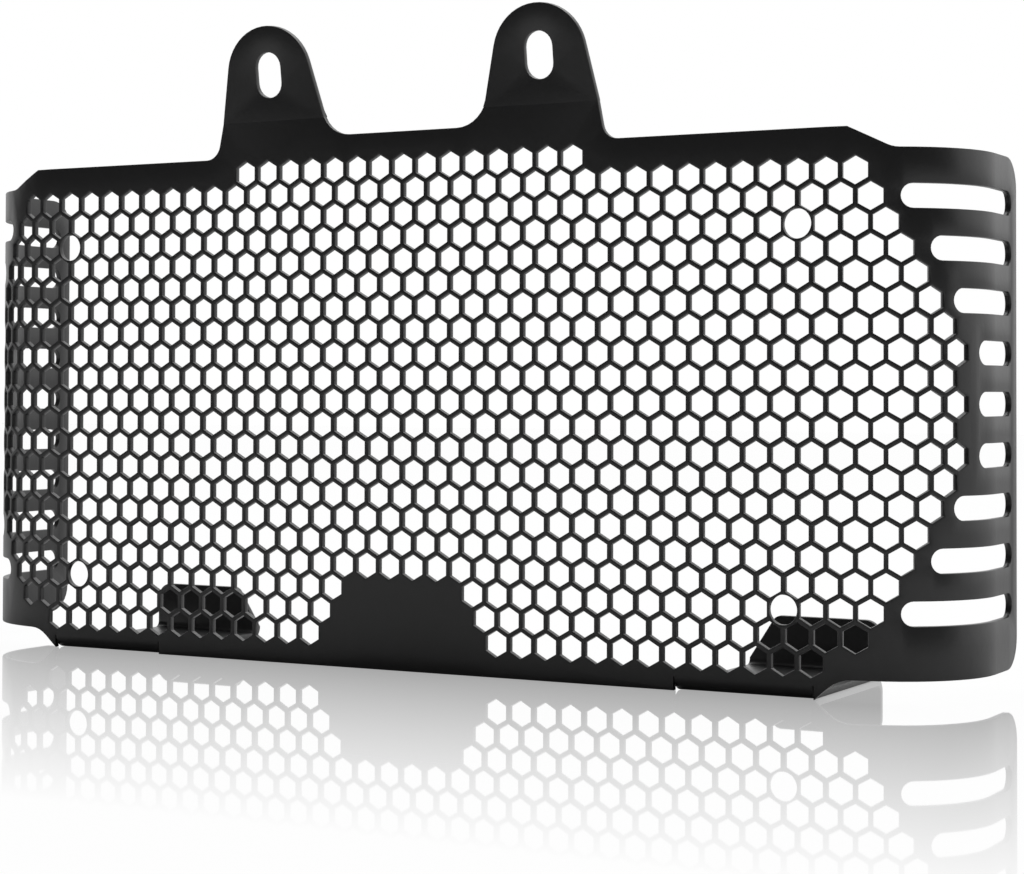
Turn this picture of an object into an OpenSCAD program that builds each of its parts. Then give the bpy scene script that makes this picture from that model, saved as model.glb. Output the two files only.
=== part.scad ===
// Motorcycle radiator guard: one aluminium sheet, perforated with hexagons, its two
// sides rolled back into wings, with two bolt tabs on top and two hooked straps below.
// The front faces -Y, +Z is up, and the part stands on its straps and bottom edge.

/* [Sheet] */
// Thickness of the sheet
sheet_t = 1.5; // [1.2:0.1:2]
// Inside radius of the press-brake folds
fold_r = 1.5; // [1:0.25:3]

/* [Front panel] */
// Half width of the flat front, out to where the sides start to roll back
flat_half = 102.9; // [101:0.1:108]
// Height of the front panel
panel_h = 122.5; // [121.5:0.5:126]
// Rise of the panel's edge between the two tabs
bridge_rise = 4.45; // [2:0.05:6]

/* [Wings] */
// Radius of the first, gentle roll, at the middle of the sheet
roll_r = 45; // [38:1:55]
// Turn of the first roll in degrees: its sine is 0.352 and its cosine 0.936, so that it joins exactly
roll_turn = 20.6097; // [16:0.0001:24]
// Radius of the second, tight roll, at the middle of the sheet
curl_r = 24; // [22:0.5:27]
// Turn of both rolls together in degrees
wing_turn = 90; // [84:1:90]
// Length of the straight strip behind the rolls
rear_strip = 16; // [15:0.5:24]
// Height of the wing's top edge
wing_top = 117.9; // [116.5:0.1:120]
// Height of the wing's bottom edge
wing_bottom = 4.6; // [3:0.1:6]
// Radius of the wing's rear corners
wing_corner_r = 7; // [3:0.5:9]
// Distance past the flat front where the top edge starts to drop
shoulder_start = 7.4; // [5:0.2:9]
// Distance past the flat front where the top edge is down at the wing's top
shoulder_end = 17; // [15:0.5:20]
// Radius in the hollow of that shoulder
shoulder_r = 6; // [3:0.5:9]
// Slope of the bottom edge outside the straps in degrees
foot_slope = 40; // [30:1:50]
// Radius where that slope meets the wing's bottom edge
foot_r = 8; // [4:0.5:10]

/* [Honeycomb] */
// Shape of the perforations: the real hexagons make the exact solid very slow to build
mesh_sides = 0; // [0:Round, 6:Hexagon]
// Distance between neighbouring hexagons
mesh_pitch = 6.4; // [6:0.1:7.2]
// Width of a hexagon across its flats
hexagon_af = 5.35; // [4.6:0.05:5.6]
// Height of the middle row of hexagons
mesh_mid = 63.2; // [62:0.1:64]
// Rows above the middle row, and as many below it
mesh_rows = 10; // [8:1:10]
// Reach of the rows sideways from the middle, along the sheet
mesh_reach = 134.4; // [128:0.4:135]
// Reach of the hexagonal field's slanted corners, at the middle row
mesh_corner = 140.8; // [134:0.4:142]
// Reach of the short top row between the tabs
top_row_reach = 44.8; // [32:0.4:51.2]
// Reach of the bottom row
bottom_row_reach = 102.4; // [89.6:0.4:102.4]
// Rows of the plain patch in the middle of the bottom
patch_rows = 3; // [1:1:4]
// Reach of the plain patch at its top row
patch_reach = 12.8; // [6.4:0.4:19.2]

/* [Bolt holes] */
// Diameter of the four bolt holes in the panel
bolt_d = 6.5; // [5:0.1:7]
// Distance of the upper bolt holes from the middle
upper_bolt_x = 99.2; // [92:0.2:100]
// Height of the upper bolt holes above the middle row
upper_bolt_rise = 38.8; // [33:0.1:40]
// Distance of the lower bolt holes from the middle
lower_bolt_x = 96; // [88:0.2:98]
// Depth of the lower bolt holes below the middle row
lower_bolt_drop = 44.3; // [38:0.1:46]
// Least sheet between a bolt hole and a hexagon, which otherwise is left out
bolt_web = 0.3; // [0.2:0.1:1]

/* [Wing slots] */
// Height of a slot
slot_h = 5.3; // [4:0.1:6]
// Sheet between the last hexagon of a row and its slot
slot_web = 3.6; // [3:0.1:5]
// Row, counted from the middle, whose slot reaches closer to its last hexagon
long_slot_row = 4; // [2:2:8]
// Sheet between the last hexagon of that row and its slot
long_slot_web = 2.6; // [2:0.1:4]
// Sheet between the slots and the wing's rear edge
slot_margin = 4; // [3:0.1:6]

/* [Tabs] */
// Distance of each tab from the middle
tab_x = 37.1; // [34:0.1:40]
// Height of the tab's fold above the panel's edge
tab_fold_rise = 8.8; // [7:0.05:10]
// Forward lean of the tabs in degrees
tab_lean = 8; // [0:1:12]
// Radius of the tab's round head
tab_head_r = 11.9; // [10:0.1:13]
// Distance from the tab's fold to the middle of its head
tab_reach = 11; // [9:0.1:14]
// Flare of the tab's outer side in degrees
tab_outer_flare = 11.3; // [6:0.1:16]
// Flare of the tab's inner side in degrees
tab_inner_flare = 14.2; // [8:0.1:18]
// Radius at the foot of the outer side
tab_outer_r = 4; // [2:0.5:6]
// Radius at the foot of the inner side
tab_inner_r = 8; // [4:0.5:9]
// Width of the bolt slot in a tab
tab_slot_w = 7.2; // [6:0.1:8.4]
// Length of the bolt slot in a tab
tab_slot_l = 11; // [9:0.1:13]

/* [Straps and hooks] */
// Width of a strap, inwards from the end of the flat front
strap_w = 32.5; // [26:0.5:36]
// Clear depth between the panel's back and a hook
hook_gap = 41.5; // [30:0.5:60]
// Height of a hook's tip
hook_h = 13.2; // [10:0.1:20]
// Slant of a hook's inner side in degrees
hook_slant = 33; // [10:1:40]
// Radius of a hook's outer corner
hook_outer_r = 3.8; // [2:0.1:5]
// Radius of a hook's inner corner
hook_inner_r = 2.5; // [1.5:0.1:4]

/* [Hidden] */
$fn = 120;

// How far a cutter reaches past the sheet, how deep the wing's flat start runs into the panel,
// and what separates a limit from a hexagon that lies on it
past = 2;
seam = 0.05;
hair = 0.01;
cut_t = sheet_t + 2 * past;

// Places along the sheet, measured from the middle of the panel, where its curve changes
curl_turn = wing_turn - roll_turn;
roll_end = flat_half + roll_r * roll_turn * PI / 180;
curl_end = roll_end + curl_r * curl_turn * PI / 180;
rear_edge = curl_end + rear_strip;

// Turn and place in plan of the sheet's middle at a distance s along it
function turn_at(s) =
    s <= flat_half ? 0
    : s <= roll_end ? (s - flat_half) / roll_r * 180 / PI
    : s <= curl_end ? roll_turn + (s - roll_end) / curl_r * 180 / PI
    : wing_turn;
function heading(turn) = [cos(turn), sin(turn)];
function rim(r, turn) = r * [sin(turn), -cos(turn)];
function place_at(s) =
    s <= flat_half ? [s, 0]
    : s <= roll_end ? [flat_half, roll_r] + rim(roll_r, turn_at(s))
    : s <= curl_end ? [flat_half, roll_r] + rim(roll_r - curl_r, roll_turn) + rim(curl_r, turn_at(s))
    : place_at(curl_end) + (s - curl_end) * heading(wing_turn);
// How far a place s lies from a place m, measured straight along the sheet's heading at m
function along_at(s, m) = (place_at(s) - place_at(m)) * heading(turn_at(m));

// Honeycomb: rows are counted from the middle one, upwards
row_step = mesh_pitch * sqrt(3) / 2;
hexagon_r = hexagon_af / 2 / cos(30);
function row_rise(k) = k * row_step;
function row_shift(k) = k % 2 == 0 ? 0 : mesh_pitch / 2;
function row_reach(k) =
    k == mesh_rows ? top_row_reach
    : k == -mesh_rows ? bottom_row_reach
    : min(mesh_reach, mesh_corner - abs(row_rise(k)) / sqrt(3));
function row_count(k) = floor((row_reach(k) + hair - row_shift(k)) / mesh_pitch);
function row_end(k) = row_shift(k) + row_count(k) * mesh_pitch;

// The plain patch lies below this row, and widens by half a pitch with each row
patch_over = patch_rows - mesh_rows;
function in_patch(s, k) =
    k < patch_over && s <= patch_reach + (patch_over - 1 - k) * mesh_pitch / 2 + hair;

bolt_places = [
    [upper_bolt_x, upper_bolt_rise],
    [lower_bolt_x, -lower_bolt_drop]
];
function clear_of_bolts(p) =
    min([for (b = bolt_places) norm(p - b)]) >= (bolt_d + hexagon_af) / 2 + bolt_web;

// Every hexagon of the right half as [distance along the sheet, height over the middle row]
hexagons = [
    for (k = [-mesh_rows : mesh_rows], i = [0 : row_count(k)])
        let (s = row_shift(k) + i * mesh_pitch, p = [s, row_rise(k)])
        if (!in_patch(s, k) && clear_of_bolts(p)) p
];
// Those cut square through the flat front, those that reach into the wing, and those that
// start in the wing and reach back into the flat front
flat_hexagons = [for (h = hexagons) if (h[0] <= flat_half) h];
wing_hexagons = [for (h = hexagons) if (h[0] + hexagon_af / 2 + hair > flat_half) h];
border_hexagons = [for (h = wing_hexagons) if (h[0] > flat_half && h[0] - hexagon_af / 2 < flat_half) h];

// Every second row goes on as a slot in the wing
slot_rows = [for (k = [1 - mesh_rows : mesh_rows - 1]) if (k % 2 == 0) k];
slot_end = rear_edge - slot_margin;
function slot_start(k) =
    row_end(k) + hexagon_af / 2 + (abs(k) == long_slot_row ? long_slot_web : slot_web);

// Heights and depths of the folds
bridge_h = panel_h + bridge_rise;
tab_fold_h = panel_h + tab_fold_rise;
strap_in = flat_half - strap_w;
strap_fold_h = sheet_t + fold_r;
front_fold_y = sheet_t / 2 + fold_r;
hook_y = sheet_t / 2 + hook_gap;
hook_fold_y = hook_y - fold_r;

// Middle of the part's depth, between the tabs' tips and the backs of the hooks and wings
tab_tip = tab_reach + tab_head_r;
front_y = -sheet_t / 2 - (tab_reach * cos(tab_lean) + tab_head_r) * tan(tab_lean);
back_y = max(hook_y + sheet_t, place_at(rear_edge)[1]);
mid_y = (front_y + back_y) / 2;

// The wedge between a corner at p and an arc in it, whose open side runs from angle a
// to angle b, and which reaches a little past the corner's two sides
module corner_fill(p, a, b, r) {
    half = (b - a) / 2;
    leg = r / tan(half);
    centre = p + r / sin(half) * heading(a + half);
    foot_a = p + leg * heading(a);
    foot_b = p + leg * heading(b);
    difference() {
        polygon([
            centre, foot_a, foot_a + heading(a - 90) / 2, p - heading(a + half) / sin(half) / 2,
            foot_b + heading(b + 90) / 2, foot_b
        ]);
        translate(centre) circle(r);
    }
}

// A flat outline, x across and y up, stood on edge as sheet with its middle at y = 0
module upright(thick = sheet_t) {
    rotate([90, 0, 0]) linear_extrude(height = thick, center = true) children();
}

module both_sides() {
    children();
    mirror([1, 0, 0]) children();
}

// The frame of the curl's axis, turned so that the curl starts straight in front of it
module at_curl() {
    translate([flat_half, roll_r, 0]) rotate([0, 0, roll_turn])
        translate([0, curl_r - roll_r, 0]) children();
}

// Carries what is drawn on the flat front at x = 0 to a place along the rolled sheet
module at_sheet(s) {
    if (s <= flat_half)
        translate([s, 0, 0]) children();
    else if (s <= roll_end)
        translate([flat_half, roll_r, 0]) rotate([0, 0, turn_at(s)])
            translate([0, -roll_r, 0]) children();
    else
        at_curl() rotate([0, 0, turn_at(s) - roll_turn])
            translate([max(0, s - curl_end), -curl_r, 0]) children();
}

// Front panel

// Half widths to a tab's outer and inner side at a height over its fold
function tab_outer(w) =
    tab_x + tab_head_r / cos(tab_outer_flare) + (tab_reach - w) * tan(tab_outer_flare);
function tab_inner(w) =
    tab_x - tab_head_r / cos(tab_inner_flare) - (tab_reach - w) * tan(tab_inner_flare);

// The tab up to its fold, with the raised edge beside it
module tab_root_outline() {
    outer_foot = [tab_outer(-tab_fold_rise), panel_h];
    inner_foot = [tab_inner(bridge_rise - tab_fold_rise), bridge_h];
    polygon([
        [0, panel_h - past], [outer_foot[0], panel_h - past], outer_foot,
        [tab_outer(0), tab_fold_h], [tab_inner(0), tab_fold_h], inner_foot, [0, bridge_h]
    ]);
    corner_fill(outer_foot, 0, 90 + tab_outer_flare, tab_outer_r);
    corner_fill(inner_foot, 90 - tab_inner_flare, 180, tab_inner_r);
}

// One perforation: a hexagon with a corner up, or the circle that just fits into it
module perforation() {
    if (mesh_sides == 6) rotate(30) circle(r = hexagon_r, $fn = 6);
    else circle(d = hexagon_af);
}

module panel_outline() {
    difference() {
        union() {
            translate([-flat_half, 0]) square([2 * flat_half, panel_h]);
            both_sides() tab_root_outline();
        }
        both_sides() {
            translate([strap_in, -past]) square([strap_w + past, strap_fold_h + past]);
            for (b = bolt_places) translate([b[0], mesh_mid + b[1]]) circle(d = bolt_d);
        }
        for (h = flat_hexagons, side = h[0] > 0 ? [-1, 1] : [1])
            translate([side * h[0], mesh_mid + h[1]]) perforation();
    }
}

// A perforation cut square to the sheet at its place along it
module perforation_cut(h) {
    at_sheet(h[0]) translate([0, 0, mesh_mid + h[1]]) upright(cut_t) perforation();
}

module panel() {
    difference() {
        upright() panel_outline();
        both_sides()
            for (h = border_hexagons) perforation_cut(h);
    }
}

// Tabs

module bolt_slot_outline() {
    straight = tab_slot_l - tab_slot_w;
    square([tab_slot_w, straight], center = true);
    for (side = [-1, 1])
        translate([0, side * straight / 2]) circle(d = tab_slot_w);
}

// The tab seen from the front, from its crease up
module tab_outline() {
    head = [tab_x, tab_fold_h + tab_reach * cos(tab_lean)];
    difference() {
        union() {
            polygon([
                [tab_outer(0), tab_fold_h],
                head + tab_head_r * heading(tab_outer_flare), head,
                head + tab_head_r * heading(180 - tab_inner_flare),
                [tab_inner(0), tab_fold_h]
            ]);
            translate(head) circle(tab_head_r);
        }
        translate(head) bolt_slot_outline();
    }
}

// A fold of width w along +X, turning from +Y towards +Z after a start at angle from
module fold(turn, from, w) {
    rotate([90, 0, 90]) rotate([0, 0, from])
        rotate_extrude(angle = turn) translate([fold_r, 0]) square([sheet_t, w]);
}

// The tab leans forward from a crease, shown here by its side and cut to its outline
module tab() {
    long = tab_tip + past;
    front = [-sheet_t / 2, tab_fold_h];
    tip = front + long * [-sin(tab_lean), cos(tab_lean)];
    intersection() {
        rotate([90, 0, 90]) linear_extrude(height = flat_half) polygon([
            front, [sheet_t / 2, tab_fold_h],
            [sheet_t / 2, tab_fold_h + sheet_t * tan(tab_lean / 2)],
            tip + sheet_t * [cos(tab_lean), sin(tab_lean)], tip
        ]);
        upright(2 * long) tab_outline();
    }
}

// Straps and hooks

module hook_outline() {
    top_in = [strap_in + (hook_h - strap_fold_h) * tan(hook_slant), hook_h];
    difference() {
        polygon([
            [strap_in, strap_fold_h], [flat_half, strap_fold_h], [flat_half, hook_h], top_in
        ]);
        corner_fill([flat_half, hook_h], 180, 270, hook_outer_r);
        corner_fill(top_in, -90 - hook_slant, 0, hook_inner_r);
    }
}

module strap() {
    translate([strap_in, front_fold_y, strap_fold_h]) fold(90, 180, strap_w);
    translate([strap_in, front_fold_y, 0]) cube([strap_w, hook_fold_y - front_fold_y, sheet_t]);
    translate([strap_in, hook_fold_y, strap_fold_h]) fold(90, 270, strap_w);
    translate([0, hook_y + sheet_t / 2, 0]) upright() hook_outline();
}

// Wings

// A stretch of rolled sheet in plan, from straight in front of its axis round by a turn
module rolled(r, turn) {
    wide = 2 * r;
    intersection() {
        difference() {
            circle(r + sheet_t / 2);
            circle(r - sheet_t / 2);
        }
        polygon([[0, 0], rim(wide, 0), rim(wide, turn / 2), rim(wide, turn)]);
    }
}

// The wing in plan
module wing_plan() {
    translate([flat_half - seam, -sheet_t / 2]) square([seam, sheet_t]);
    translate([flat_half, roll_r]) {
        rolled(roll_r, roll_turn);
        rotate(roll_turn) translate([0, curl_r - roll_r]) {
            rolled(curl_r, curl_turn);
            rotate(curl_turn) translate([0, -curl_r - sheet_t / 2])
                square([rear_strip, sheet_t]);
        }
    }
}

// Lowers the top edge to the wing's in a slanted shoulder
module shoulder_cut() {
    from = place_at(flat_half + shoulder_start)[0];
    to = place_at(flat_half + shoulder_end)[0];
    slope = atan((panel_h - wing_top) / (to - from));
    over = past * tan(slope);
    upright(3 * rear_edge) difference() {
        polygon([
            [from - past, panel_h + over], [to, wing_top],
            [rear_edge, wing_top], [rear_edge, panel_h + over]
        ]);
        corner_fill([to, wing_top], 0, 180 - slope, shoulder_r);
    }
}

// Raises the bottom edge to the wing's in a slope that starts beside the strap
module foot_cut() {
    run = wing_bottom / tan(foot_slope);
    mid = flat_half + run;
    from = along_at(flat_half, mid);
    at_sheet(mid) upright(3 * rear_edge) difference() {
        polygon([
            [from - past, -past * tan(foot_slope)], [from + run, wing_bottom],
            [rear_edge, wing_bottom], [rear_edge, -past * tan(foot_slope)]
        ]);
        corner_fill([from + run, wing_bottom], 180 + foot_slope, 360, foot_r);
    }
}

module rear_corner_cuts() {
    at_sheet(rear_edge) upright(cut_t) {
        corner_fill([0, wing_top], 180, 270, wing_corner_r);
        corner_fill([0, wing_bottom], 90, 180, wing_corner_r);
    }
}

module wing_blank() {
    difference() {
        linear_extrude(height = panel_h) wing_plan();
        shoulder_cut();
        foot_cut();
        rear_corner_cuts();
    }
}

// A round-ended slot that starts in the curl and runs on along the rear strip, cut sideways
module wing_slot(k) {
    r = slot_h / 2;
    level = mesh_mid + row_rise(k);
    start = place_at(slot_start(k))[1] + r;
    end = place_at(slot_end)[1] - r;
    translate([flat_half + roll_r * sin(roll_turn), 0, level]) rotate([90, 0, 90])
        linear_extrude(height = 2 * curl_r) {
            translate([start, -r]) square([end - start, slot_h]);
            translate([start, 0]) circle(r);
            translate([end, 0]) circle(r);
        }
}

module wing() {
    difference() {
        wing_blank();
        for (h = wing_hexagons) perforation_cut(h);
        for (k = slot_rows) wing_slot(k);
    }
}

// The folded sheet
module radiator_guard() {
    color([0.13, 0.13, 0.14]) translate([0, -mid_y, 0]) {
        panel();
        both_sides() {
            wing();
            tab();
            strap();
        }
    }
}

radiator_guard();
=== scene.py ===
# %% [markdown]
# A motorcycle radiator guard: one sheet of aluminium, perforated with hexagons, rolled back at
# its two sides, folded into two bolt tabs and two hooked straps, and powder coated satin black.
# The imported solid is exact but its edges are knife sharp, and it is an edge's thin line of light
# that makes sheet metal look real. So this lesson draws the same sheet again as a flat pattern
# with softened edges, the way a press shop has it before folding, and then folds it in code.

import math

import bmesh
import bpy
import numpy as np
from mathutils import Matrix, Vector
from mathutils.geometry import delaunay_2d_cdt


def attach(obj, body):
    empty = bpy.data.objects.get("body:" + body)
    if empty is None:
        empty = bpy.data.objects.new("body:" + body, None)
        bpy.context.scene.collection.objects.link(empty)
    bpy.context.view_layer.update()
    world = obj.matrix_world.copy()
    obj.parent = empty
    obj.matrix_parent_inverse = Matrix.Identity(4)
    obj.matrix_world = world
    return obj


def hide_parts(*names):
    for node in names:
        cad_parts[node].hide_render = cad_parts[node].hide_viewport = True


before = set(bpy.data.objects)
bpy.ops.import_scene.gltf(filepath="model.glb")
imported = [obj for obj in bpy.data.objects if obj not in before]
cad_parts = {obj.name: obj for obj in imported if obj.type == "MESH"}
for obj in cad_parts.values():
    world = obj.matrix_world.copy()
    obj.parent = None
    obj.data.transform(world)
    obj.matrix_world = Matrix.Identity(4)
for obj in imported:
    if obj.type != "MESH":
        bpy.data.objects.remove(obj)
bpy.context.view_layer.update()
MM = 0.001

# %% [markdown]
# Every size is the one that the sheet was drawn with, in millimetres. Distances called s run
# along the sheet from the middle of the panel, so that they stay true where the sheet is rolled.
# The solid could also be measured for them, but a number with a name is easier to read and change.

# %% Sizes of the sheet
SHEET = 1.5
FOLD_R = 1.5
FLAT_HALF = 102.9
PANEL_H = 122.5
BRIDGE_H = 126.95
ROLL_R, ROLL_TURN = 45.0, 20.6097
CURL_R, WING_TURN = 24.0, 90.0
REAR_STRIP = 16.0
WING_TOP, WING_BOTTOM, WING_CORNER_R = 117.9, 4.6, 7.0
SHOULDER = (7.4, 17.0)
SHOULDER_R = 6.0
FOOT_SLOPE, FOOT_R = 40.0, 8.0

roll_end = FLAT_HALF + ROLL_R * math.radians(ROLL_TURN)
curl_end = roll_end + CURL_R * math.radians(WING_TURN - ROLL_TURN)
rear_edge = curl_end + REAR_STRIP
print(f"rolls end at s = {roll_end:.1f} and {curl_end:.1f}, rear edge at {rear_edge:.1f}")

# %% [markdown]
# The perforation is a honeycomb of 6.4 mm pitch, in rows that end in slanted corners, with a plain
# patch left at the bottom. Four bolt holes sit in it, and nine long slots open each wing.

# %% Sizes of the honeycomb, holes and slots
PITCH = 6.4
ACROSS = 5.35
MESH_MID = 63.2
MESH_ROWS, MESH_COLUMNS = 10, 22
MESH_REACH, MESH_CORNER = 134.4, 140.8
TOP_ROW_REACH, BOTTOM_ROW_REACH = 44.8, 102.4
PATCH_ROWS, PATCH_REACH = 3, 12.8
BOLT_D = 6.5
BOLTS = [(99.2, 38.8), (96.0, -44.3)]
BOLT_WEB = 0.3
SLOT_H, SLOT_WEB, LONG_SLOT_WEB, LONG_SLOT_ROW, SLOT_MARGIN = 5.3, 3.6, 2.6, 4, 4.0
row_step = PITCH * math.sqrt(3) / 2
HAIR = 0.01
print(f"webs of {PITCH - ACROSS:.2f} mm between the hexagons, rows {row_step:.2f} mm apart")

# %% [markdown]
# Two tabs at the top take the radiator's upper bolts, and lean forward a little. Two straps at the
# bottom run back under the radiator and turn up into hooks that hold it from behind. The relief
# is the fine cut beside a strap that lets it fold without tearing the panel.

# %% Sizes of the tabs, straps and hooks
TAB_X, TAB_FOLD_H, TAB_LEAN = 37.1, 131.15, 8.0
TAB_HEAD_R, TAB_REACH = 11.9, 11.0
TAB_OUTER_FLARE, TAB_INNER_FLARE = 11.3, 14.2
TAB_OUTER_R, TAB_INNER_R = 4.0, 8.0
TAB_SLOT_W, TAB_SLOT_L = 7.2, 11.0
STRAP_W, HOOK_GAP, HOOK_H, HOOK_SLANT = 32.5, 41.5, 13.2, 33.0
HOOK_OUTER_R, HOOK_INNER_R = 3.8, 2.5
RELIEF = 0.1
print(f"the hooks clear {HOOK_GAP} mm behind the panel")

# %% [markdown]
# A curve is drawn as short straight sides. More of them look rounder and cost triangles, so each
# kind of curve has its own number: steps in a fold, a step along the plain curl in millimetres,
# and steps round an arc in degrees. A cut edge is softened by a small radius in two steps.

# %% How finely curves are drawn
FOLD_STEPS, CURL_STEP = 8, 1.5
CORNER_ARC, HEAD_ARC, SLOT_ARC, BOLT_ARC = 12, 7.5, 15, 10
EDGE_R, EDGE_STEPS = 0.22, 2
print(f"edge radius {EDGE_R} mm on a sheet of {SHEET} mm")

# %% [markdown]
# A fold or a roll never stretches the middle of the sheet. So each one is a path of straight and
# round stretches, and a flat point is carried to the place that lies as far along the path. The
# same walk serves the rolled wings, seen from above, and the strap and tab, seen from the side.
# A Simple Deform modifier bends too, but by one turn about one axis, and this sheet has several.

# %% Walking along a path of straight and round stretches
def walk(stretches, u):
    """Place and heading, in a plane, after going u along stretches of (length, turn in degrees)."""
    x, y, heading = 0.0, 0.0, 0.0
    for i, (length, turn) in enumerate(stretches):
        last = i == len(stretches) - 1
        go = u if last else min(u, length)
        if turn:
            radius = length / math.radians(turn)
            new = heading + go / radius
            x += radius * (math.sin(new) - math.sin(heading))
            y += radius * (math.cos(heading) - math.cos(new))
            heading = new
        else:
            x += go * math.cos(heading)
            y += go * math.sin(heading)
        u -= go
        if u <= 0:
            break
    return x, y, heading


WING_PATH = [
    (FLAT_HALF, 0),
    (roll_end - FLAT_HALF, ROLL_TURN),
    (curl_end - roll_end, WING_TURN - ROLL_TURN),
    (REAR_STRIP, 0),
]
fold_mid = FOLD_R + SHEET / 2
strap_fold_h = SHEET + FOLD_R
fold_len = fold_mid * math.pi / 2
STRAP_PATH = [(fold_len, 90), (HOOK_GAP - 2 * FOLD_R, 0), (fold_len, 90), (HOOK_H, 0)]
lean_len = fold_mid * math.radians(TAB_LEAN)
TAB_PATH = [(lean_len, TAB_LEAN), (TAB_REACH + TAB_HEAD_R, 0)]
strap_in = FLAT_HALF - STRAP_W


def tip_depth():
    """How far the tab's tip stands in front of the sheet's middle."""
    lean = math.radians(TAB_LEAN)
    return SHEET / 2 + FOLD_R - FOLD_R * math.cos(lean) + (TAB_REACH + TAB_HEAD_R) * math.sin(lean)


mid_y = (HOOK_GAP + 1.5 * SHEET - tip_depth()) / 2
print(f"sheet's middle stands {mid_y:.2f} mm in front of the guard's own middle")


# %% [markdown]
# A point of the flat pattern belongs to a strap, a tab or the rolled sheet, and each has its own
# path. The depth through the sheet is laid off square to the path, so the thickness stays even.

# %% Folding a flat point
def folded(s, depth, z):
    """Where a point of the flat pattern goes: s along, depth behind the sheet's middle, z up."""
    side, s = (-1 if s < 0 else 1), abs(s)
    if z < strap_fold_h and strap_in - RELIEF / 2 < s < FLAT_HALF + RELIEF / 2:
        down, back, turn = walk(STRAP_PATH, strap_fold_h - z)
        back += depth * math.cos(turn)
        down -= depth * math.sin(turn)
        return side * s, back - mid_y, strap_fold_h - down
    if z > TAB_FOLD_H:
        up, front, turn = walk(TAB_PATH, z - TAB_FOLD_H)
        front -= depth * math.cos(turn)
        up += depth * math.sin(turn)
        return side * s, -front - mid_y, TAB_FOLD_H + up
    x, y, turn = walk(WING_PATH, s)
    return side * (x - depth * math.sin(turn)), y + depth * math.cos(turn) - mid_y, z


def folded_mesh(name, verts, faces):
    """A mesh object from flat-pattern points (s, depth, z) in millimetres."""
    mesh = bpy.data.meshes.new(name)
    mesh.from_pydata([[c * MM for c in folded(*v)] for v in verts], [], faces)
    piece = bpy.data.objects.new(name, mesh)
    bpy.context.collection.objects.link(piece)
    return piece

# %% [markdown]
# The outline is a list of corners, some of them with a radius. Walking round it once, each such
# corner is swapped for an arc, and every straight side is cut at the lines where the sheet will
# bend, so that the flat pattern has points to bend at.

# %% Rounding corners and cutting sides
def arc_points(centre, r, start, end, step=CORNER_ARC):
    """Points of an arc between two angles in degrees."""
    n = max(2, math.ceil(abs(end - start) / step))
    angles = [math.radians(start + (end - start) * i / n) for i in range(n + 1)]
    return [(centre[0] + r * math.cos(a), centre[1] + r * math.sin(a)) for a in angles]


def rounded(corners):
    """A closed outline from (x, z) or (x, z, radius) corners."""
    points = []
    for i, corner in enumerate(corners):
        here = np.array(corner[:2], float)
        r = corner[2] if len(corner) > 2 else 0
        if not r:
            points.append(tuple(here))
            continue
        before = np.array(corners[i - 1][:2], float) - here
        after = np.array(corners[(i + 1) % len(corners)][:2], float) - here
        before /= np.linalg.norm(before)
        after /= np.linalg.norm(after)
        half = math.acos(np.clip(before @ after, -1, 1)) / 2
        middle = (before + after) / np.linalg.norm(before + after)
        centre = here + middle * r / math.sin(half)
        leg = r / math.tan(half)
        foot, far = here + before * leg - centre, here + after * leg - centre
        start = math.degrees(math.atan2(foot[1], foot[0]))
        swing = (math.degrees(math.atan2(far[1], far[0])) - start + 180) % 360 - 180
        points += arc_points(centre, r, start, start + swing)
    return points


def cut_at(points, axis, values):
    """The same closed outline with a point wherever it crosses a value of one coordinate."""
    out = []
    for i, p in enumerate(points):
        q = points[(i + 1) % len(points)]
        out.append(p)
        low, high = sorted((p[axis], q[axis]))
        inside = [v for v in values if low + HAIR / 10 < v < high - HAIR / 10]
        for v in sorted(inside, reverse=bool(p[axis] > q[axis])):
            f = (v - p[axis]) / (q[axis] - p[axis])
            out.append(tuple(p[k] + f * (q[k] - p[k]) for k in (0, 1)))
    return out


def mirrored(points):
    """The same outline on the left, still in the same sense."""
    return [(-x, z) for x, z in reversed(points)]


# %% [markdown]
# The guard is the same left and right, so only the right half of the outline is listed, from the
# bottom middle round by the hook, the wing and the tab to the top middle, and then mirrored.

# %% The outline of the flat pattern
def tab_side(w, flare, sign):
    """Where a tab's side is at a height w over its fold."""
    flare = math.radians(flare)
    return TAB_X + sign * (TAB_HEAD_R / math.cos(flare) + (TAB_REACH - w) * math.tan(flare))


def head_arc():
    """The tab's round head, from its outer side over the top to its inner side."""
    return arc_points((TAB_X, TAB_FOLD_H + lean_len + TAB_REACH), TAB_HEAD_R,
                      TAB_OUTER_FLARE, 180 - TAB_INNER_FLARE, HEAD_ARC)


strap_len = sum(length for length, _ in STRAP_PATH[:3])
hook_root = strap_fold_h - strap_len
hook_tip = hook_root - (HOOK_H - strap_fold_h)
hook_in = strap_in + (HOOK_H - strap_fold_h) * math.tan(math.radians(HOOK_SLANT))
foot_run = WING_BOTTOM / math.tan(math.radians(FOOT_SLOPE))
root_drop = PANEL_H - TAB_FOLD_H
bridge_drop = BRIDGE_H - TAB_FOLD_H

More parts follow.
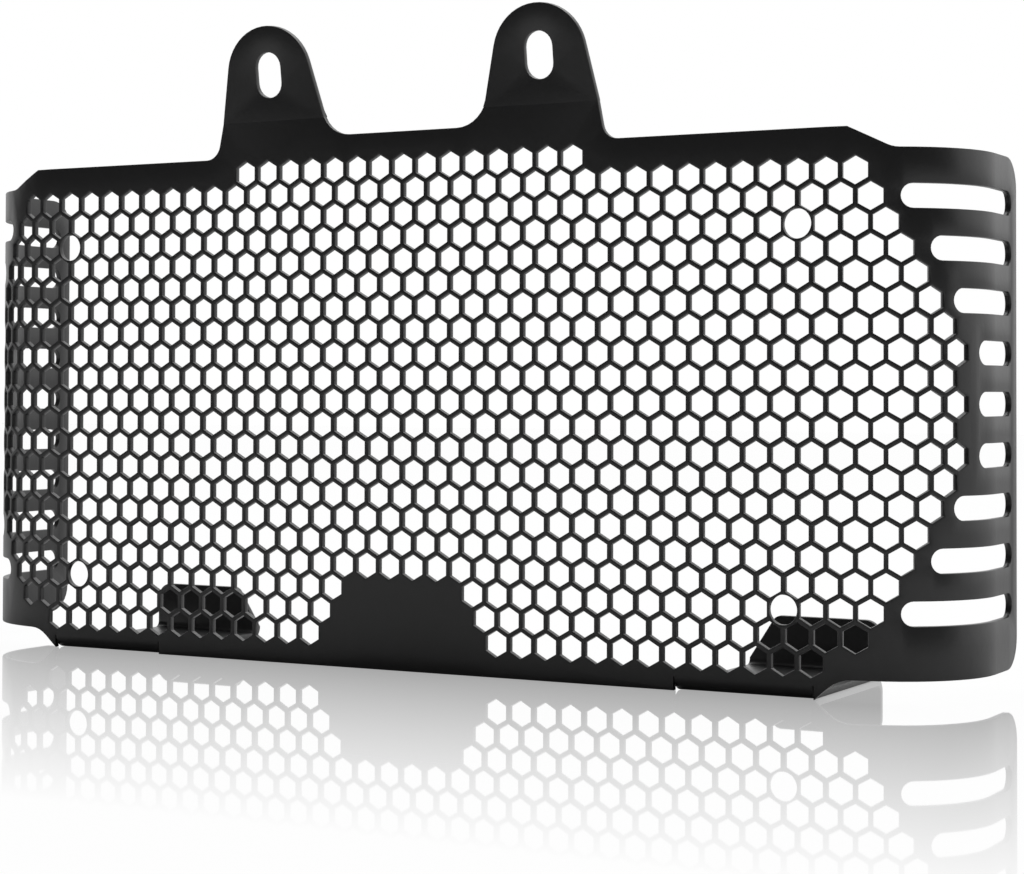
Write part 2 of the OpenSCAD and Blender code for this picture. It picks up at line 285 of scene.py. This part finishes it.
half_outline = rounded([
    (0, 0), (strap_in - RELIEF, 0), (strap_in - RELIEF, strap_fold_h),
    (strap_in, strap_fold_h), (strap_in, hook_root), (hook_in, hook_tip, HOOK_INNER_R),
    (FLAT_HALF, hook_tip, HOOK_OUTER_R), (FLAT_HALF, strap_fold_h),
    (FLAT_HALF + RELIEF, strap_fold_h), (FLAT_HALF + RELIEF, 0),
    (FLAT_HALF + foot_run, WING_BOTTOM, FOOT_R), (rear_edge, WING_BOTTOM, WING_CORNER_R),
    (rear_edge, WING_TOP, WING_CORNER_R), (FLAT_HALF + SHOULDER[1], WING_TOP, SHOULDER_R),
    (FLAT_HALF + SHOULDER[0], PANEL_H),
    (tab_side(root_drop, TAB_OUTER_FLARE, 1), PANEL_H, TAB_OUTER_R),
    (tab_side(0, TAB_OUTER_FLARE, 1), TAB_FOLD_H),
    (tab_side(0, TAB_OUTER_FLARE, 1), TAB_FOLD_H + lean_len),
    *head_arc(),
    (tab_side(0, TAB_INNER_FLARE, -1), TAB_FOLD_H + lean_len),
    (tab_side(0, TAB_INNER_FLARE, -1), TAB_FOLD_H),
    (tab_side(bridge_drop, TAB_INNER_FLARE, -1), BRIDGE_H, TAB_INNER_R),
    (0, BRIDGE_H),
])
outline = half_outline[1:-1] + mirrored(half_outline)[1:-1]
print("outline has", len(outline), "points; hook's tip lies", round(-hook_tip, 1), "mm below")

# %% [markdown]
# Where the sheet will be round, the flat pattern needs lines to bend along. On the wings they
# run through the corners of the hexagons, so that no line crosses a hexagon's side.

# %% Bending lines
half_pitch = PITCH / 2
first_line = math.ceil(FLAT_HALF / half_pitch) * half_pitch
hexagons_end = MESH_REACH + half_pitch
wing_lines = list(np.arange(first_line, hexagons_end + HAIR, half_pitch))
wing_lines += [*np.arange(hexagons_end + CURL_STEP, curl_end, CURL_STEP), curl_end]
wing_lines = [side * float(s) for s in wing_lines for side in (-1, 1)]
fold_steps = [strap_fold_h - fold_len * i / FOLD_STEPS for i in range(1, FOLD_STEPS + 1)]
fold_steps += [strap_fold_h - strap_len + fold_len * (1 - i / FOLD_STEPS)
               for i in range(FOLD_STEPS + 1)]
lean_steps = [TAB_FOLD_H, TAB_FOLD_H + lean_len]
outline = cut_at(outline, 0, wing_lines)
outline = cut_at(outline, 1, fold_steps + lean_steps)
print(len(wing_lines), "bending lines on the wings,", len(outline), "outline points")

# %% [markdown]
# The bolt holes, the tabs' slots and the wings' slots are outlines of their own. A slot starts one
# web past the last hexagon of its row and ends short of the rear edge, so each has its own length.

# %% Holes of the margin
def stadium(centre, half_length, r, upright):
    """A slot with round ends, as a closed outline."""
    x, z = centre
    if upright:
        return arc_points((x, z + half_length), r, 0, 180, SLOT_ARC) + arc_points(
            (x, z - half_length), r, 180, 360, SLOT_ARC)
    return arc_points((x + half_length, z), r, -90, 90, SLOT_ARC) + arc_points(
        (x - half_length, z), r, 90, 270, SLOT_ARC)


def row_reach(k):
    """How far row k reaches, counted from the middle row upwards."""
    if k == MESH_ROWS:
        return TOP_ROW_REACH
    if k == -MESH_ROWS:
        return BOTTOM_ROW_REACH
    return min(MESH_REACH, MESH_CORNER - abs(k) * row_step / math.sqrt(3))


def row_end(k):
    """Place of the outermost hexagon of row k."""
    shift = (k % 2) * half_pitch
    return shift + math.floor((row_reach(k) + HAIR - shift) / PITCH) * PITCH


holes = []
for side in (-1, 1):
    for x, rise in BOLTS:
        ring = arc_points((side * x, MESH_MID + rise), BOLT_D / 2, 0, 360, BOLT_ARC)[:-1]
        holes.append(ring)
    tab_slot = ((side * TAB_X, TAB_FOLD_H + lean_len + TAB_REACH), (TAB_SLOT_L - TAB_SLOT_W) / 2)
    holes.append(stadium(*tab_slot, TAB_SLOT_W / 2, upright=True))
    for k in range(2 - MESH_ROWS, MESH_ROWS - 1, 2):
        web = LONG_SLOT_WEB if abs(k) == LONG_SLOT_ROW else SLOT_WEB
        start, end = row_end(k) + ACROSS / 2 + web, rear_edge - SLOT_MARGIN
        middle = (side * (start + end) / 2, MESH_MID + k * row_step)
        holes.append(stadium(middle, (end - start - SLOT_H) / 2, SLOT_H / 2, upright=False))
# A bolt hole takes up more than one cell, so the hexagons next to it are holes of the margin too
clearance = (BOLT_D + ACROSS) / 2 + BOLT_WEB
beside_bolt = clearance + PITCH / 4
for k in range(-MESH_ROWS, MESH_ROWS + 1):
    for s in np.arange((k % 2) * half_pitch, row_end(k) + HAIR, PITCH):
        off = min(math.hypot(s - x, k * row_step - rise) for x, rise in BOLTS)
        if clearance < off < beside_bolt:
            for side in (-1, 1):
                ring = arc_points((side * s, MESH_MID + k * row_step),
                                  ACROSS / 2 / math.cos(math.radians(30)), 30, 390, 60)
                holes.append(ring[:-1])
holes = [cut_at(hole, 0, wing_lines) for hole in holes]
print(len(holes), "holes and slots in the margin")

# %% [markdown]
# A softened edge is a quarter round between the face of the sheet and the wall of a cut. The
# same profile serves a hexagon's rim, a bolt hole and the outline of the whole sheet.

# %% The profile of a cut edge
def edge_profile():
    """(distance from the cut, depth) from the front face round to the back face."""
    front, half = [], SHEET / 2
    for i in range(EDGE_STEPS + 1):
        a = math.radians(90 * i / EDGE_STEPS)
        front.append((EDGE_R * (1 - math.sin(a)), -half + EDGE_R * (1 - math.cos(a))))
    return front + [(inset, -depth) for inset, depth in reversed(front)]


PROFILE = edge_profile()
print("the edge has", len(PROFILE), "rings of points from face to face")

# %% [markdown]
# Operators on this small class write node maths as it is said: s + pitch / 2 adds the nodes. One
# method makes every other node, in the geometry trees and in the materials alike.

# %% Writing node trees as expressions
class Signal:
    """A node's output, or a number, that can be used in an expression."""

    def __init__(self, graph, socket):
        self.graph, self.socket = graph, socket

    def math(self, operation, *others):
        node = self.graph.node("ShaderNodeMath", {"operation": operation})
        for i, value in enumerate((self, *others)):
            self.graph.feed(node.inputs[i], value)
        return Signal(self.graph, node.outputs[0])

    def __add__(self, other):
        return self.math("ADD", other)

    def __sub__(self, other):
        return self.math("SUBTRACT", other)

    def __rsub__(self, other):
        return (self * -1.0).math("ADD", other)

    def __mul__(self, other):
        return self.math("MULTIPLY", other)

    def __truediv__(self, other):
        return self.math("DIVIDE", other)

    def __lt__(self, other):
        return self.math("LESS_THAN", other)

    def __gt__(self, other):
        return self.math("GREATER_THAN", other)

    __radd__ = __add__
    __rmul__ = __mul__


class Graph:
    """A node tree that is built by calls."""

    def __init__(self, tree):
        self.tree = tree

    def feed(self, socket, value):
        if isinstance(value, Signal):
            self.tree.links.new(value.socket, socket)
        elif value is not None:
            socket.default_value = value

    def node(self, kind, settings=None, sockets=None):
        """Adds a node: its settings first, then the values or links of its sockets."""
        node = self.tree.nodes.new(kind)
        for name, value in (settings or {}).items():
            setattr(node, name, value)
        for name, value in (sockets or {}).items():
            self.feed(node.inputs[name], value)
        return node

    def out(self, kind, settings=None, sockets=None, output=0):
        """The output of a new node."""
        return Signal(self, self.node(kind, settings, sockets).outputs[output])


# %% [markdown]
# One cell of the honeycomb is a six-sided ring: the outer side is the border to the next cell,
# the inner side is the rim of the hole. Its rings of six points follow the edge profile, and a
# ring's points lie further out than its sides by one over the cosine of 30 degrees.

# %% One cell of the honeycomb
def cell_mesh():
    """One hexagon's web and rim, around the origin."""
    rim = [(ACROSS / 2 + inset, depth) for inset, depth in PROFILE]
    rings = [(PITCH / 2, -SHEET / 2), *rim, (PITCH / 2, SHEET / 2)]
    verts, faces = [], []
    for apothem, depth in rings:
        r = apothem / math.cos(math.radians(30))
        for i in range(6):
            a = math.radians(30 + 60 * i)
            verts.append((r * math.cos(a), depth, r * math.sin(a)))
    for j in range(len(rings) - 1):
        for i in range(6):
            n = (i + 1) % 6
            faces.append((6 * j + i, 6 * j + n, 6 * (j + 1) + n, 6 * (j + 1) + i))
    mesh = bpy.data.meshes.new("honeycomb_cell")
    mesh.from_pydata(verts, [], faces)
    return bpy.data.objects.new("honeycomb_cell", mesh)


cell = cell_mesh()
print("a cell has", len(cell.data.polygons), "faces")

# %% [markdown]
# Geometry Nodes lay the cells out. A grid of points gets every other row shifted by half a
# pitch, and the points that the real pattern leaves out are deleted: those past a row's reach,
# those in the plain patch at the bottom, and those where a bolt hole sits or next to it. An Array
# modifier could lay out the rows, but not leave out points, and a changed input changes the field.

# %% The honeycomb's node tree
def honeycomb_tree():
    """A node tree that lays cells out in rows and leaves out what the pattern leaves out."""
    tree = bpy.data.node_groups.new("honeycomb", "GeometryNodeTree")
    face = tree.interface
    face.new_socket("Geometry", in_out="OUTPUT", socket_type="NodeSocketGeometry")
    face.new_socket("Cell", in_out="INPUT", socket_type="NodeSocketObject")
    face.new_socket("Finish", in_out="INPUT", socket_type="NodeSocketMaterial")
    for name in ("Pitch", "Reach", "Corner reach", "Top row reach", "Bottom row reach",
                 "Patch reach", "Bolt clearance"):
        face.new_socket(name, in_out="INPUT", socket_type="NodeSocketFloat")
    for name in ("Rows", "Columns", "Patch rows"):
        face.new_socket(name, in_out="INPUT", socket_type="NodeSocketInt")
    for name in ("Upper bolt", "Lower bolt"):
        face.new_socket(name, in_out="INPUT", socket_type="NodeSocketVector")
    g = Graph(tree)
    given = g.node("NodeGroupInput")
    size = {s.name: Signal(g, s) for s in given.outputs if s.name}
    pitch, rows, columns = size["Pitch"], size["Rows"], size["Columns"]
    step = pitch * (math.sqrt(3) / 2)
    grid = g.out("GeometryNodeMeshGrid", None, {
        "Size X": columns * pitch * 2, "Size Y": rows * step * 2,
        "Vertices X": columns * 2 + 1, "Vertices Y": rows * 2 + 1})
    place = g.node("ShaderNodeSeparateXYZ", None, {"Vector": g.out("GeometryNodeInputPosition")})
    x, z = Signal(g, place.outputs["X"]), Signal(g, place.outputs["Y"])
    row = (z / step).math("ROUND")
    s = x + row.math("FLOORED_MODULO", 2.0) * pitch / 2
    far, out = s.math("ABSOLUTE"), z.math("ABSOLUTE")
    sloped = size["Corner reach"] - out / math.sqrt(3)
    top, bottom = row > rows - 0.5, row < 0.5 - rows
    inner = (1 - top) * (1 - bottom)
    reach = (inner * size["Reach"].math("MINIMUM", sloped)
             + top * size["Top row reach"] + bottom * size["Bottom row reach"])
    under = size["Patch rows"] - rows - 1 - row
    patch = (under > -0.5) * (far < size["Patch reach"] + under * pitch / 2 + HAIR)
    drop = (far > reach + HAIR) + patch
    flat = g.out("ShaderNodeCombineXYZ", None, {"X": far, "Y": 0.0, "Z": z})
    for bolt in ("Upper bolt", "Lower bolt"):
        gap = g.node("ShaderNodeVectorMath", {"operation": "DISTANCE"})
        g.feed(gap.inputs[0], flat)
        g.feed(gap.inputs[1], size[bolt])
        drop = drop + (Signal(g, gap.outputs["Value"]) < size["Bolt clearance"])
    kept = g.out("GeometryNodeDeleteGeometry", {"domain": "POINT"}, {
        "Geometry": grid, "Selection": drop > 0.5})
    moved = g.out("GeometryNodeSetPosition", None, {
        "Geometry": kept, "Position": g.out("ShaderNodeCombineXYZ", None, {"X": s, "Z": z})})
    shape = g.out("GeometryNodeObjectInfo", None, {"Object": size["Cell"]}, "Geometry")
    cells = g.out("GeometryNodeInstanceOnPoints", None, {"Points": moved, "Instance": shape})
    solid = g.out("GeometryNodeRealizeInstances", None, {"Geometry": cells})
    welded = g.out("GeometryNodeMergeByDistance", None, {"Geometry": solid, "Distance": HAIR})
    done = g.out("GeometryNodeSetMaterial", None, {"Geometry": welded, "Material": size["Finish"]})
    g.node("NodeGroupOutput", None, {"Geometry": done})
    return tree


# %% [markdown]
# The node tree's result is copied out as a plain mesh. It lies flat, in millimetres, and only
# has to be raised from height nought to its middle row's height.

# %% The honeycomb, laid out flat
coat = bpy.data.materials.new("black_powder_coat")
carrier = bpy.data.objects.new("honeycomb_field", bpy.data.meshes.new("honeycomb_field"))
bpy.context.collection.objects.link(carrier)
bpy.context.collection.objects.link(cell)
field_nodes = carrier.modifiers.new("honeycomb", "NODES")
field_nodes.node_group = honeycomb_tree()
given = {
    "Cell": cell, "Finish": coat, "Pitch": PITCH, "Reach": MESH_REACH,
    "Corner reach": MESH_CORNER, "Top row reach": TOP_ROW_REACH,
    "Bottom row reach": BOTTOM_ROW_REACH, "Patch reach": PATCH_REACH,
    "Bolt clearance": beside_bolt, "Rows": MESH_ROWS, "Columns": MESH_COLUMNS,
    "Patch rows": PATCH_ROWS, "Upper bolt": (BOLTS[0][0], 0.0, BOLTS[0][1]),
    "Lower bolt": (BOLTS[1][0], 0.0, BOLTS[1][1]),
}
for socket in field_nodes.node_group.interface.items_tree:
    if socket.in_out == "INPUT":
        field_nodes[socket.identifier] = given[socket.name]
depsgraph = bpy.context.evaluated_depsgraph_get()
flat_field = bpy.data.meshes.new_from_object(carrier.evaluated_get(depsgraph))
field_points = [(v.co.x, v.co.y, v.co.z + MESH_MID) for v in flat_field.vertices]
field_faces = [tuple(face.vertices) for face in flat_field.polygons]
print("honeycomb:", len(field_faces) // len(cell.data.polygons), "hexagons")
for spare in (carrier, cell):
    bpy.data.objects.remove(spare)

# %% [markdown]
# The rest of the sheet is the margin around the honeycomb. Its face is one triangulation that
# respects every line given to it: the outline and the holes, drawn in by the edge's radius, the
# saw-toothed border of the honeycomb and the bending lines. A triangle belongs to the sheet when
# a ray from its middle crosses the closed lines an odd number of times.

# %% Drawing a closed outline in or out
SHARPEST_MITER = 0.3


def drawn_in(points, distance):
    """The outline moved into the material, which lies to its left."""
    p = np.array(points)
    ahead, behind = np.roll(p, -1, axis=0) - p, p - np.roll(p, 1, axis=0)
    normals = []
    for leg in (ahead, behind):
        leg = leg / np.linalg.norm(leg, axis=1)[:, None]
        normals.append(np.stack([-leg[:, 1], leg[:, 0]], axis=1))
    n1, n2 = normals
    miter = (n1 + n2) / np.maximum(1 + (n1 * n2).sum(axis=1), SHARPEST_MITER)[:, None]
    return [tuple(q) for q in p + miter * distance]


def signed_area(points):
    """Area of a closed outline, above nought where it runs anticlockwise."""
    p = np.array(points)
    q = np.roll(p, -1, axis=0)
    return float((p[:, 0] * q[:, 1] - q[:, 0] * p[:, 1]).sum() / 2)


def border_edges(points, faces, depth):
    """Edges at one depth that belong to one face only."""
    uses = {}
    for face in faces:
        for i, a in enumerate(face):
            b = face[(i + 1) % len(face)]
            if abs(points[a][1] - depth) < HAIR / 10 and abs(points[b][1] - depth) < HAIR / 10:
                uses.setdefault((min(a, b), max(a, b)), []).append((a, b))
    return [found[0] for found in uses.values() if len(found) == 1]


loops = [outline if signed_area(outline) > 0 else outline[::-1]]
loops += [hole if signed_area(hole) < 0 else hole[::-1] for hole in holes]
inner_loops = [drawn_in(loop, EDGE_R) for loop in loops]
border = border_edges(field_points, field_faces, -SHEET / 2)
print("border of the honeycomb:", len(border), "edges")

# %% [markdown]
# Blender's own constrained triangulation takes points and the lines that it has to keep. It also
# says which of its edges came from which line, and those are the places where the softened edge,
# made later, needs points of its own to meet the face without a gap.

# %% The margin's flat face
OVERRUN, TAB_BEND_REACH = 1, 20
plan, wires = [], []
for loop in inner_loops:
    base = len(plan)
    plan += loop
    wires += [(base + i, base + (i + 1) % len(loop)) for i in range(len(loop))]
numbers = {}
for a, b in border:
    for i in (a, b):
        if i not in numbers:
            numbers[i] = len(plan)
            plan.append((field_points[i][0], field_points[i][2]))
    wires.append((numbers[a], numbers[b]))
closed = np.array([[plan[a], plan[b]] for a, b in wires])
bends = [((s, -OVERRUN), (s, PANEL_H + OVERRUN)) for s in wing_lines]
for side in (-1, 1):
    strap_ends = side * (strap_in - OVERRUN), side * (FLAT_HALF + OVERRUN)
    tab_ends = side * (TAB_X - TAB_BEND_REACH), side * (TAB_X + TAB_BEND_REACH)
    bends += [tuple((x, z) for x in strap_ends) for z in [strap_fold_h] + fold_steps]
    bends += [tuple((x, z) for x in tab_ends) for z in lean_steps]
for start, end in bends:
    wires.append((len(plan), len(plan) + 1))
    plan += [start, end]
cut = delaunay_2d_cdt([Vector(p) for p in plan], wires, [], 0, HAIR / 100, True)
margin_points = np.array([tuple(v) for v in cut[0]])
middles = np.array([margin_points[list(face)].mean(axis=0) for face in cut[2]])
on_wire = {}
for edge, origins in zip(cut[1], cut[4]):
    for wire in origins:
        on_wire.setdefault(wire, set()).update(edge)


def crossings(places, edges):
    """How many of the edges a ray from each place towards +X crosses."""
    total = np.zeros(len(places), int)
    for (x1, z1), (x2, z2) in edges:
        if z1 == z2:
            continue
        spans = (places[:, 1] > min(z1, z2)) & (places[:, 1] <= max(z1, z2))
        at = x1 + (places[:, 1] - z1) * (x2 - x1) / (z2 - z1)
        total += spans & (at > places[:, 0])
    return total


in_sheet = crossings(middles, closed) % 2 == 1
margin_faces = [face for face, keep in zip(cut[2], in_sheet) if keep]
print("margin:", len(margin_faces), "triangles on each face of the sheet")

# %% [markdown]
# The same triangles serve the front face and, turned over, the back face. Each cut edge is a strip
# between them, ring after ring along the edge's profile.

# %% Front face, back face and softened edges, still flat
SAME_PLACE = 1e-4
points = list(field_points)
faces = list(field_faces)
for depth, flip in ((-SHEET / 2, False), (SHEET / 2, True)):
    base = len(points)
    points += [(x, depth, z) for x, z in margin_points]
    faces += [tuple(base + i for i in (face[::-1] if flip else face)) for face in margin_faces]
first_wire = 0
for loop, inner in zip(loops, inner_loops):
    stations = []
    for i, a in enumerate(inner):
        n = (i + 1) % len(loop)
        leg = np.array(inner[n]) - np.array(a)
        shares = {0.0}
        for v in on_wire[first_wire + i]:
            share = float((margin_points[v] - np.array(a)) @ leg / (leg @ leg))
            if SAME_PLACE < share < 1 - SAME_PLACE:
                shares.add(share)
        stations += [(i, n, share) for share in sorted(shares)]
    first_wire += len(loop)
    rings = []
    for inset, depth in PROFILE:
        rings.append(len(points))
        ring = drawn_in(loop, inset)
        for i, n, share in stations:
            x, z = (ring[i][k] + share * (ring[n][k] - ring[i][k]) for k in (0, 1))
            points.append((x, depth, z))
    for low, high in zip(rings, rings[1:]):
        for i in range(len(stations)):
            n = (i + 1) % len(stations)
            faces.append((low + i, low + n, high + n, high + i))
used = sorted({i for face in faces for i in face})
place = {old: new for new, old in enumerate(used)}
points = [points[i] for i in used]
faces = [tuple(place[i] for i in face) for face in faces]
print("flat pattern:", len(points), "points,", len(faces), "faces")

# %% [markdown]
# Now the flat sheet is folded: each point is carried to its place, points that meet are welded,
# and the faces are turned outward. Edges that turn by more than 30 degrees stay sharp.

# %% Folding the sheet
WELD, SHARP_TURN = 2e-5, math.radians(30)
guard = folded_mesh("radiator_guard", points, faces)
shape = bmesh.new()
shape.from_mesh(guard.data)
bmesh.ops.remove_doubles(shape, verts=shape.verts, dist=WELD)
bmesh.ops.recalc_face_normals(shape, faces=shape.faces)
open_edges = [edge for edge in shape.edges if len(edge.link_faces) != 2]
volume = shape.calc_volume(signed=True)
if volume < 0:
    bmesh.ops.reverse_faces(shape, faces=shape.faces)
for edge in shape.edges:
    edge.smooth = len(edge.link_faces) == 2 and edge.calc_face_angle() < SHARP_TURN
for face in shape.faces:
    face.smooth = True
shape.to_mesh(guard.data)
shape.free()
guard.data.materials.append(coat)
tris = sum(len(face.vertices) - 2 for face in guard.data.polygons)
print(f"{tris} triangles, {len(open_edges)} open edges, {abs(volume) * 1e9:.0f} mm3 of metal")
print("mesh's box in mm:", [
    [round(f(v.co[i] for v in guard.data.vertices) / MM, 2) for i in range(3)] for f in (min, max)])
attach(guard, "root")
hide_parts("radiator_guard")

# %% [markdown]
# Powder coat is a matt black with a satin skin. Its surface is never flat: a fine orange peel of
# about two millimetres and a finer grain lie on it, both only some hundredths of a millimetre
# high, and its sheen drifts a little from place to place. Noise makes all three, on Object
# coordinates, so the peel has its real size wherever the sheet turns. Scales are per metre.

# %% Satin black powder coat
PEEL_SCALE, GRAIN_SCALE, DRIFT_SCALE = 520.0, 2600.0, 14.0
PEEL_HEIGHT, PEEL_SHARE, DRIFT_SHARE = 0.00003, 0.75, 0.7
DARK_COAT, LIGHT_COAT = (0.0085, 0.0085, 0.0090, 1), (0.0145, 0.0145, 0.0150, 1)
ROUGHNESS, ROUGHNESS_DRIFT, SHEEN = 0.28, 0.14, 0.7


def powder_coat(material):
    """Gives a material the nodes of the coat."""
    material.use_nodes = True
    material.node_tree.nodes.clear()
    g = Graph(material.node_tree)
    place = g.out("ShaderNodeTexCoord", output="Object")

    def noise(scale, detail):
        return g.out("ShaderNodeTexNoise", None,
                     {"Vector": place, "Scale": scale, "Detail": detail}, "Fac")

    peel, grain, drift = noise(PEEL_SCALE, 1.0), noise(GRAIN_SCALE, 2.0), noise(DRIFT_SCALE, 3.0)
    relief = g.out("ShaderNodeBump", None, {
        "Strength": 1.0, "Distance": PEEL_HEIGHT,
        "Height": peel * PEEL_SHARE + grain * (1 - PEEL_SHARE)})
    tone = g.node("ShaderNodeValToRGB", None, {
        "Fac": drift * DRIFT_SHARE + grain * (1 - DRIFT_SHARE)})
    for stop, colour in zip(tone.color_ramp.elements, (DARK_COAT, LIGHT_COAT)):
        stop.color = colour
    skin = g.out("ShaderNodeBsdfPrincipled", None, {
        "Base Color": Signal(g, tone.outputs["Color"]),
        "Roughness": drift * ROUGHNESS_DRIFT + ROUGHNESS,
        "Specular IOR Level": SHEEN, "Normal": relief})
    g.node("ShaderNodeOutputMaterial", None, {"Surface": skin})


powder_coat(coat)
print("coat:", len(coat.node_tree.nodes), "nodes, roughness from", ROUGHNESS)

# %% [markdown]
# The studio is white behind the guard and dim in front of it, as the photograph's reflections
# show: the flat front mirrors the dim side and stays dark, and where the sheet turns to its
# sides it mirrors the white and brightens. The camera itself sees white everywhere. The World's
# Generated coordinate is the direction looked in, so its Y alone tells behind from in front.

# %% World
DIM_SIDE, WHITE_SIDE = (-0.05, 0.10), (0.25, 1.0)


def studio_world():
    """A world that is dim in front of the guard and white behind it."""
    world = bpy.data.worlds.new("studio")
    bpy.context.scene.world = world
    world.use_nodes = True
    world.node_tree.nodes.clear()
    g = Graph(world.node_tree)
    way = g.node("ShaderNodeSeparateXYZ", None, {
        "Vector": g.out("ShaderNodeTexCoord", output="Generated")})
    behind = g.out("ShaderNodeMapRange", {"interpolation_type": "SMOOTHSTEP"}, {
        "Value": Signal(g, way.outputs["Y"]), "From Min": DIM_SIDE[0], "From Max": WHITE_SIDE[0],
        "To Min": DIM_SIDE[1], "To Max": WHITE_SIDE[1]})
    lit = g.out("ShaderNodeBackground", None, {
        "Color": g.out("ShaderNodeCombineColor", None, {
            "Red": behind, "Green": behind, "Blue": behind}), "Strength": 1.0})
    seen = g.out("ShaderNodeBackground", None, {"Color": (1, 1, 1, 1), "Strength": 1.0})
    camera_ray = g.out("ShaderNodeLightPath", output="Is Camera Ray")
    both = g.node("ShaderNodeMixShader", None, {"Fac": camera_ray})
    g.feed(both.inputs[1], lit)
    g.feed(both.inputs[2], seen)
    g.node("ShaderNodeOutputWorld", None, {"Surface": Signal(g, both.outputs[0])})


studio_world()
print("world:", DIM_SIDE[1], "in front,", WHITE_SIDE[1], "behind")

# %% [markdown]
# The floor is glossy white. It mirrors the guard faintly where it stands, and the mirror image
# fades within a hand's span, so the floor's gloss falls off with the distance from it. A plain
# Principled floor would mirror the guard all the way down, so the mirror is mixed in by hand.

# %% Floor
FLOOR_SIZE, FLOOR_DROP = 6.0, 0.00005
MIRROR, MIRROR_FADE, MIRROR_FALL, MIRROR_BLUR = 0.58, 0.175, 0.9, 0.02
GLOW, SHADED_SHARE = 1.04, 0.12


def floor_material():
    """White to the camera, with a mirror image that fades towards the viewer."""
    material = bpy.data.materials.new("white_floor")
    material.use_nodes = True
    material.node_tree.nodes.clear()
    g = Graph(material.node_tree)
    place = g.node("ShaderNodeSeparateXYZ", None, {
        "Vector": g.out("ShaderNodeTexCoord", output="Object")})
    ahead = Signal(g, place.outputs["Y"]) * -1.0 - mid_y * MM
    near = 1 - ahead.math("MAXIMUM", 0.0) / MIRROR_FADE
    gloss = near.math("MAXIMUM", 0.0).math("POWER", MIRROR_FALL) * MIRROR
    white = g.out("ShaderNodeEmission", None, {"Color": (1, 1, 1, 1), "Strength": GLOW})
    plain = g.out("ShaderNodeBsdfDiffuse", None, {"Color": (0.85, 0.85, 0.85, 1)})
    mirror = g.out("ShaderNodeBsdfGlossy", None, {
        "Color": (1, 1, 1, 1), "Roughness": MIRROR_BLUR})
    rays = g.node("ShaderNodeLightPath")

    def mixed(factor, low, high):
        node = g.node("ShaderNodeMixShader", None, {"Fac": factor})
        g.feed(node.inputs[1], low)
        g.feed(node.inputs[2], high)
        return Signal(g, node.outputs[0])

    lit = mixed(SHADED_SHARE, white, plain)
    seen = mixed(gloss, lit, mirror)
    surface = mixed(Signal(g, rays.outputs["Is Camera Ray"]), plain, seen)
    g.node("ShaderNodeOutputMaterial", None, {"Surface": surface})
    return material


bpy.ops.mesh.primitive_plane_add(size=FLOOR_SIZE, location=(0, 0, -FLOOR_DROP))
floor = bpy.context.object
floor.name = "floor"
floor.data.materials.append(floor_material())
print(f"floor: {FLOOR_SIZE} m wide, mirror image fades within {MIRROR_FADE * 100:.1f} cm")

# %% [markdown]
# One large soft lamp hangs over the guard, a little behind it, so that its folds and the hooks
# get a gentle light from above.

# %% Lamp
LAMP_AT, LAMP_AIM = (0.1, 0.35, 1.1), (0, 0, 0.08)
LAMP_SIZE, LAMP_POWER = 0.9, 5.0


def soft_lamp(name, place, aim, size, power):
    """A square area lamp at a place, turned towards its aim."""
    data = bpy.data.lights.new(name, "AREA")
    data.size, data.energy = size, power
    lamp = bpy.data.objects.new(name, data)
    bpy.context.collection.objects.link(lamp)
    lamp.location = place
    lamp.rotation_euler = (Vector(aim) - Vector(place)).to_track_quat("-Z", "Y").to_euler()
    return lamp


soft_lamp("top_light", LAMP_AT, LAMP_AIM, LAMP_SIZE, LAMP_POWER)
print("lamp:", LAMP_POWER, "W, with a side of", LAMP_SIZE, "m")

# %% [markdown]
# The camera stands where the photograph was taken: to the right of the guard and a hand's width
# off the floor. Its place and lens were solved from the honeycomb, whose pitch is known.

# %% Camera
FOCAL_PX, PICTURE, SENSOR = 2319.0, (1024, 874), 36.0
CAMERA_AT = (0.2833, -0.4872, 0.0660)
YAW, TILT, ROLL = math.radians(28.53), math.radians(1.18), math.radians(0.16)
PRINCIPAL_Y = 342.2

scene = bpy.context.scene
scene.render.resolution_x, scene.render.resolution_y = PICTURE
data = bpy.data.cameras.new("camera")
camera = bpy.data.objects.new("camera", data)
bpy.context.collection.objects.link(camera)
scene.camera = camera
data.sensor_width = SENSOR
data.lens = FOCAL_PX * data.sensor_width / PICTURE[0]
data.shift_y = (PRINCIPAL_Y - PICTURE[1] / 2) / PICTURE[0]
data.clip_start = 0.01
forward = Vector((-math.sin(YAW) * math.cos(TILT), math.cos(YAW) * math.cos(TILT), math.sin(TILT)))
level = Vector((math.cos(YAW), math.sin(YAW), 0))
upright = level.cross(forward)
right = level * math.cos(ROLL) + upright * math.sin(ROLL)
up = upright * math.cos(ROLL) - level * math.sin(ROLL)
for i in range(3):
    camera.matrix_world[i][0], camera.matrix_world[i][1] = right[i], up[i]
    camera.matrix_world[i][2], camera.matrix_world[i][3] = -forward[i], CAMERA_AT[i]
print("lens", round(data.lens, 2), "mm, camera at", [round(v, 3) for v in CAMERA_AT])

# %% [markdown]
# The Standard view shows a colour as it is written.

# %% View
scene.view_settings.view_transform = "Standard"
